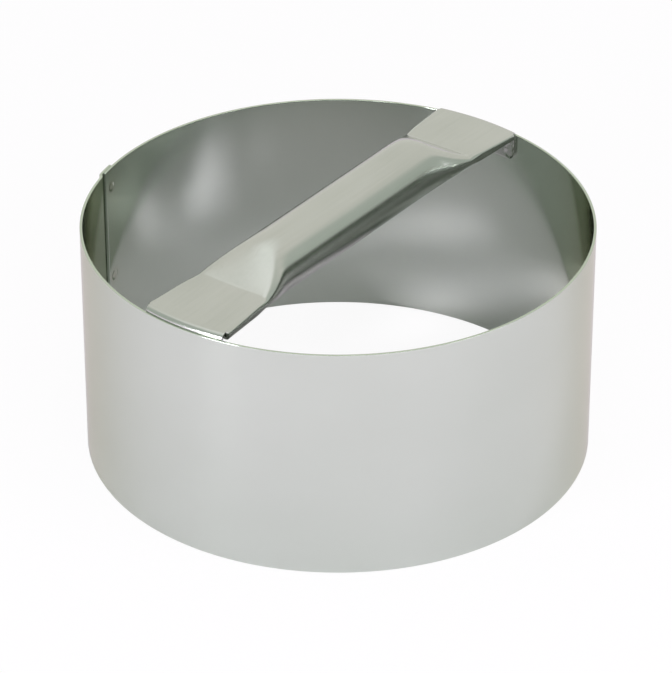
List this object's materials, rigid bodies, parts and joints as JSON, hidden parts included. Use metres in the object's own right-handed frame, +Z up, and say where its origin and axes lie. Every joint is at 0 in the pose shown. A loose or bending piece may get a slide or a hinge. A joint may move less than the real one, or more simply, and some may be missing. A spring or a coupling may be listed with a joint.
{
  "type": "round pastry cutter",
  "caption": "Open steel ring rolled from a strip and lapped, with a hollow bridge handle across its top whose flattened ends turn down inside the rim.",
  "frame": {"origin": "centre of the ring's lower edge, in the plane that it stands on", "axes": "+Z up along the ring's axis, X along the handle, Y across it"},
  "size_m": [0.1524, 0.1524, 0.0842],
  "materials": {
    "band_steel": "satin rolled stainless sheet",
    "handle_steel": "satin polished stainless tube"
  },
  "bodies": {
    "root": {"ring_band": "band_steel", "bridge_handle": "handle_steel"}
  },
  "joints": []
}
